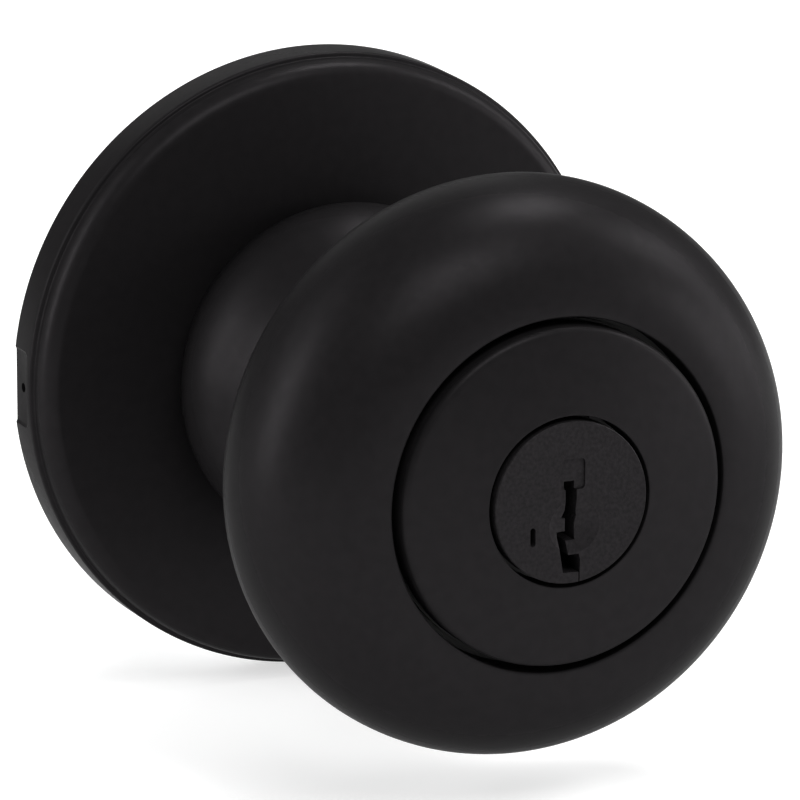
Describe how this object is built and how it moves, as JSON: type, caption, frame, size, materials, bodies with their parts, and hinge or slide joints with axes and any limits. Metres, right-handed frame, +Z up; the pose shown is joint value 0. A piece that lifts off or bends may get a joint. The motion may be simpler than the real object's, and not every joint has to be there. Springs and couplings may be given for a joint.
{
  "type": "keyed entry door knob",
  "caption": "Round matt black keyed entry knob: mushroom knob on a swelling neck, round rose, domed front cap and a rekeyable key plug, with its door-side spindle and posts.",
  "frame": {"origin": "centre of the two threaded posts on the door's outer face, on the knob's axis", "axes": "+Y into the door along the knob's axis, so the knob points along -Y; +Z up; +X to the right for someone facing the door"},
  "size_m": [0.065, 0.11, 0.065],
  "materials": {
    "rose_black": "satin black paint",
    "knob_black": "satin black paint",
    "cap_black": "satin black paint",
    "plug_black": "matt black over a fine cast grain",
    "zinc_steel": "zinc plated sheet steel",
    "post_steel": "zinc plated turned steel",
    "rivet_steel": "plain steel",
    "bronze": "sintered bronze",
    "spring_steel": "oiled spring steel",
    "core_black": "black coat on cast zinc",
    "shank_steel": "zinc plated steel",
    "nylon": "natural nylon",
    "housing_black": "blackened brass",
    "pin_brass": "turned brass",
    "wafer_brass": "stamped brass",
    "blade_steel": "plated flat steel",
    "sidebar_steel": "hard steel"
  },
  "bodies": {
    "root": {"rose": "rose_black", "mounting_plate": "zinc_steel", "mounting_posts": "post_steel", "bearing_sleeve": "bronze", "spring_housing": "zinc_steel", "housing_rivets": "rivet_steel", "return_spring": "spring_steel"},
    "knob": {"knob_shell": "knob_black", "knob_core": "core_black", "face_cap": "cap_black", "shank_tube": "shank_steel", "drive_spindle": "shank_steel", "spring_driver": "spring_steel", "retaining_ring": "spring_steel", "thrust_washer": "nylon", "cylinder_housing": "housing_black", "housing_clip": "spring_steel"},
    "plug": {"plug_body": "plug_black", "spring_cover": "pin_brass", "plug_clip": "spring_steel", "torque_blade": "blade_steel", "blade_pin": "spring_steel", "sidebar_springs": "spring_steel", "pin_spring_1": "spring_steel", "pin_spring_2": "spring_steel", "pin_spring_3": "spring_steel", "pin_spring_4": "spring_steel", "pin_spring_5": "spring_steel"},
    "key_pin_1": {"key_pin_1": "pin_brass"},
    "wafer_1": {"wafer_1": "wafer_brass"},
    "key_pin_2": {"key_pin_2": "pin_brass"},
    "wafer_2": {"wafer_2": "wafer_brass"},
    "key_pin_3": {"key_pin_3": "pin_brass"},
    "wafer_3": {"wafer_3": "wafer_brass"},
    "key_pin_4": {"key_pin_4": "pin_brass"},
    "wafer_4": {"wafer_4": "wafer_brass"},
    "key_pin_5": {"key_pin_5": "pin_brass"},
    "wafer_5": {"wafer_5": "wafer_brass"},
    "sidebar": {"sidebar": "sidebar_steel"}
  },
  "joints": [
    {"name": "knob_turn", "type": "hinge", "parent": "root", "child": "knob", "pos_m": [0, 0, 0], "axis": [0, 1, 0], "range_deg": [-60, 60], "stiffness_Nm_per_rad": 0.25, "deforming": ["return_spring"]},
    {"name": "plug_turn", "type": "hinge", "parent": "knob", "child": "plug", "pos_m": [0, -0.05, 0], "axis": [0, 1, 0], "range_deg": [-90, 90]},
    {"name": "pin_1_lift", "type": "slide", "parent": "plug", "child": "key_pin_1", "axis": [0, 0, 1], "range_m": [0, 0.0022], "stiffness_N_per_m": 80, "springref_m": -0.002, "deforming": ["pin_spring_1"]},
    {"name": "pin_2_lift", "type": "slide", "parent": "plug", "child": "key_pin_2", "axis": [0, 0, 1], "range_m": [0, 0.0022], "stiffness_N_per_m": 80, "springref_m": -0.002, "deforming": ["pin_spring_2"]},
    {"name": "pin_3_lift", "type": "slide", "parent": "plug", "child": "key_pin_3", "axis": [0, 0, 1], "range_m": [0, 0.0022], "stiffness_N_per_m": 80, "springref_m": -0.002, "deforming": ["pin_spring_3"]},
    {"name": "pin_4_lift", "type": "slide", "parent": "plug", "child": "key_pin_4", "axis": [0, 0, 1], "range_m": [0, 0.0022], "stiffness_N_per_m": 80, "springref_m": -0.002, "deforming": ["pin_spring_4"]},
    {"name": "pin_5_lift", "type": "slide", "parent": "plug", "child": "key_pin_5", "axis": [0, 0, 1], "range_m": [0, 0.0022], "stiffness_N_per_m": 80, "springref_m": -0.002, "deforming": ["pin_spring_5"]},
    {"name": "wafer_1_lift", "type": "slide", "parent": "plug", "child": "wafer_1", "axis": [0, 0, 1], "range_m": [0, 0.0022]},
    {"name": "wafer_2_lift", "type": "slide", "parent": "plug", "child": "wafer_2", "axis": [0, 0, 1], "range_m": [0, 0.0022]},
    {"name": "wafer_3_lift", "type": "slide", "parent": "plug", "child": "wafer_3", "axis": [0, 0, 1], "range_m": [0, 0.0022]},
    {"name": "wafer_4_lift", "type": "slide", "parent": "plug", "child": "wafer_4", "axis": [0, 0, 1], "range_m": [0, 0.0022]},
    {"name": "wafer_5_lift", "type": "slide", "parent": "plug", "child": "wafer_5", "axis": [0, 0, 1], "range_m": [0, 0.0022]},
    {"name": "sidebar_slide", "type": "slide", "parent": "plug", "child": "sidebar", "axis": [-1, 0, 0], "range_m": [0, 0.0006], "stiffness_N_per_m": 100, "springref_m": 0.001, "deforming": ["sidebar_springs"]}
  ],
  "couplings": [
    {"joint": "wafer_1_lift", "follows": "pin_1_lift", "ratio": 1},
    {"joint": "wafer_2_lift", "follows": "pin_2_lift", "ratio": 1},
    {"joint": "wafer_3_lift", "follows": "pin_3_lift", "ratio": 1},
    {"joint": "wafer_4_lift", "follows": "pin_4_lift", "ratio": 1},
    {"joint": "wafer_5_lift", "follows": "pin_5_lift", "ratio": 1}
  ]
}
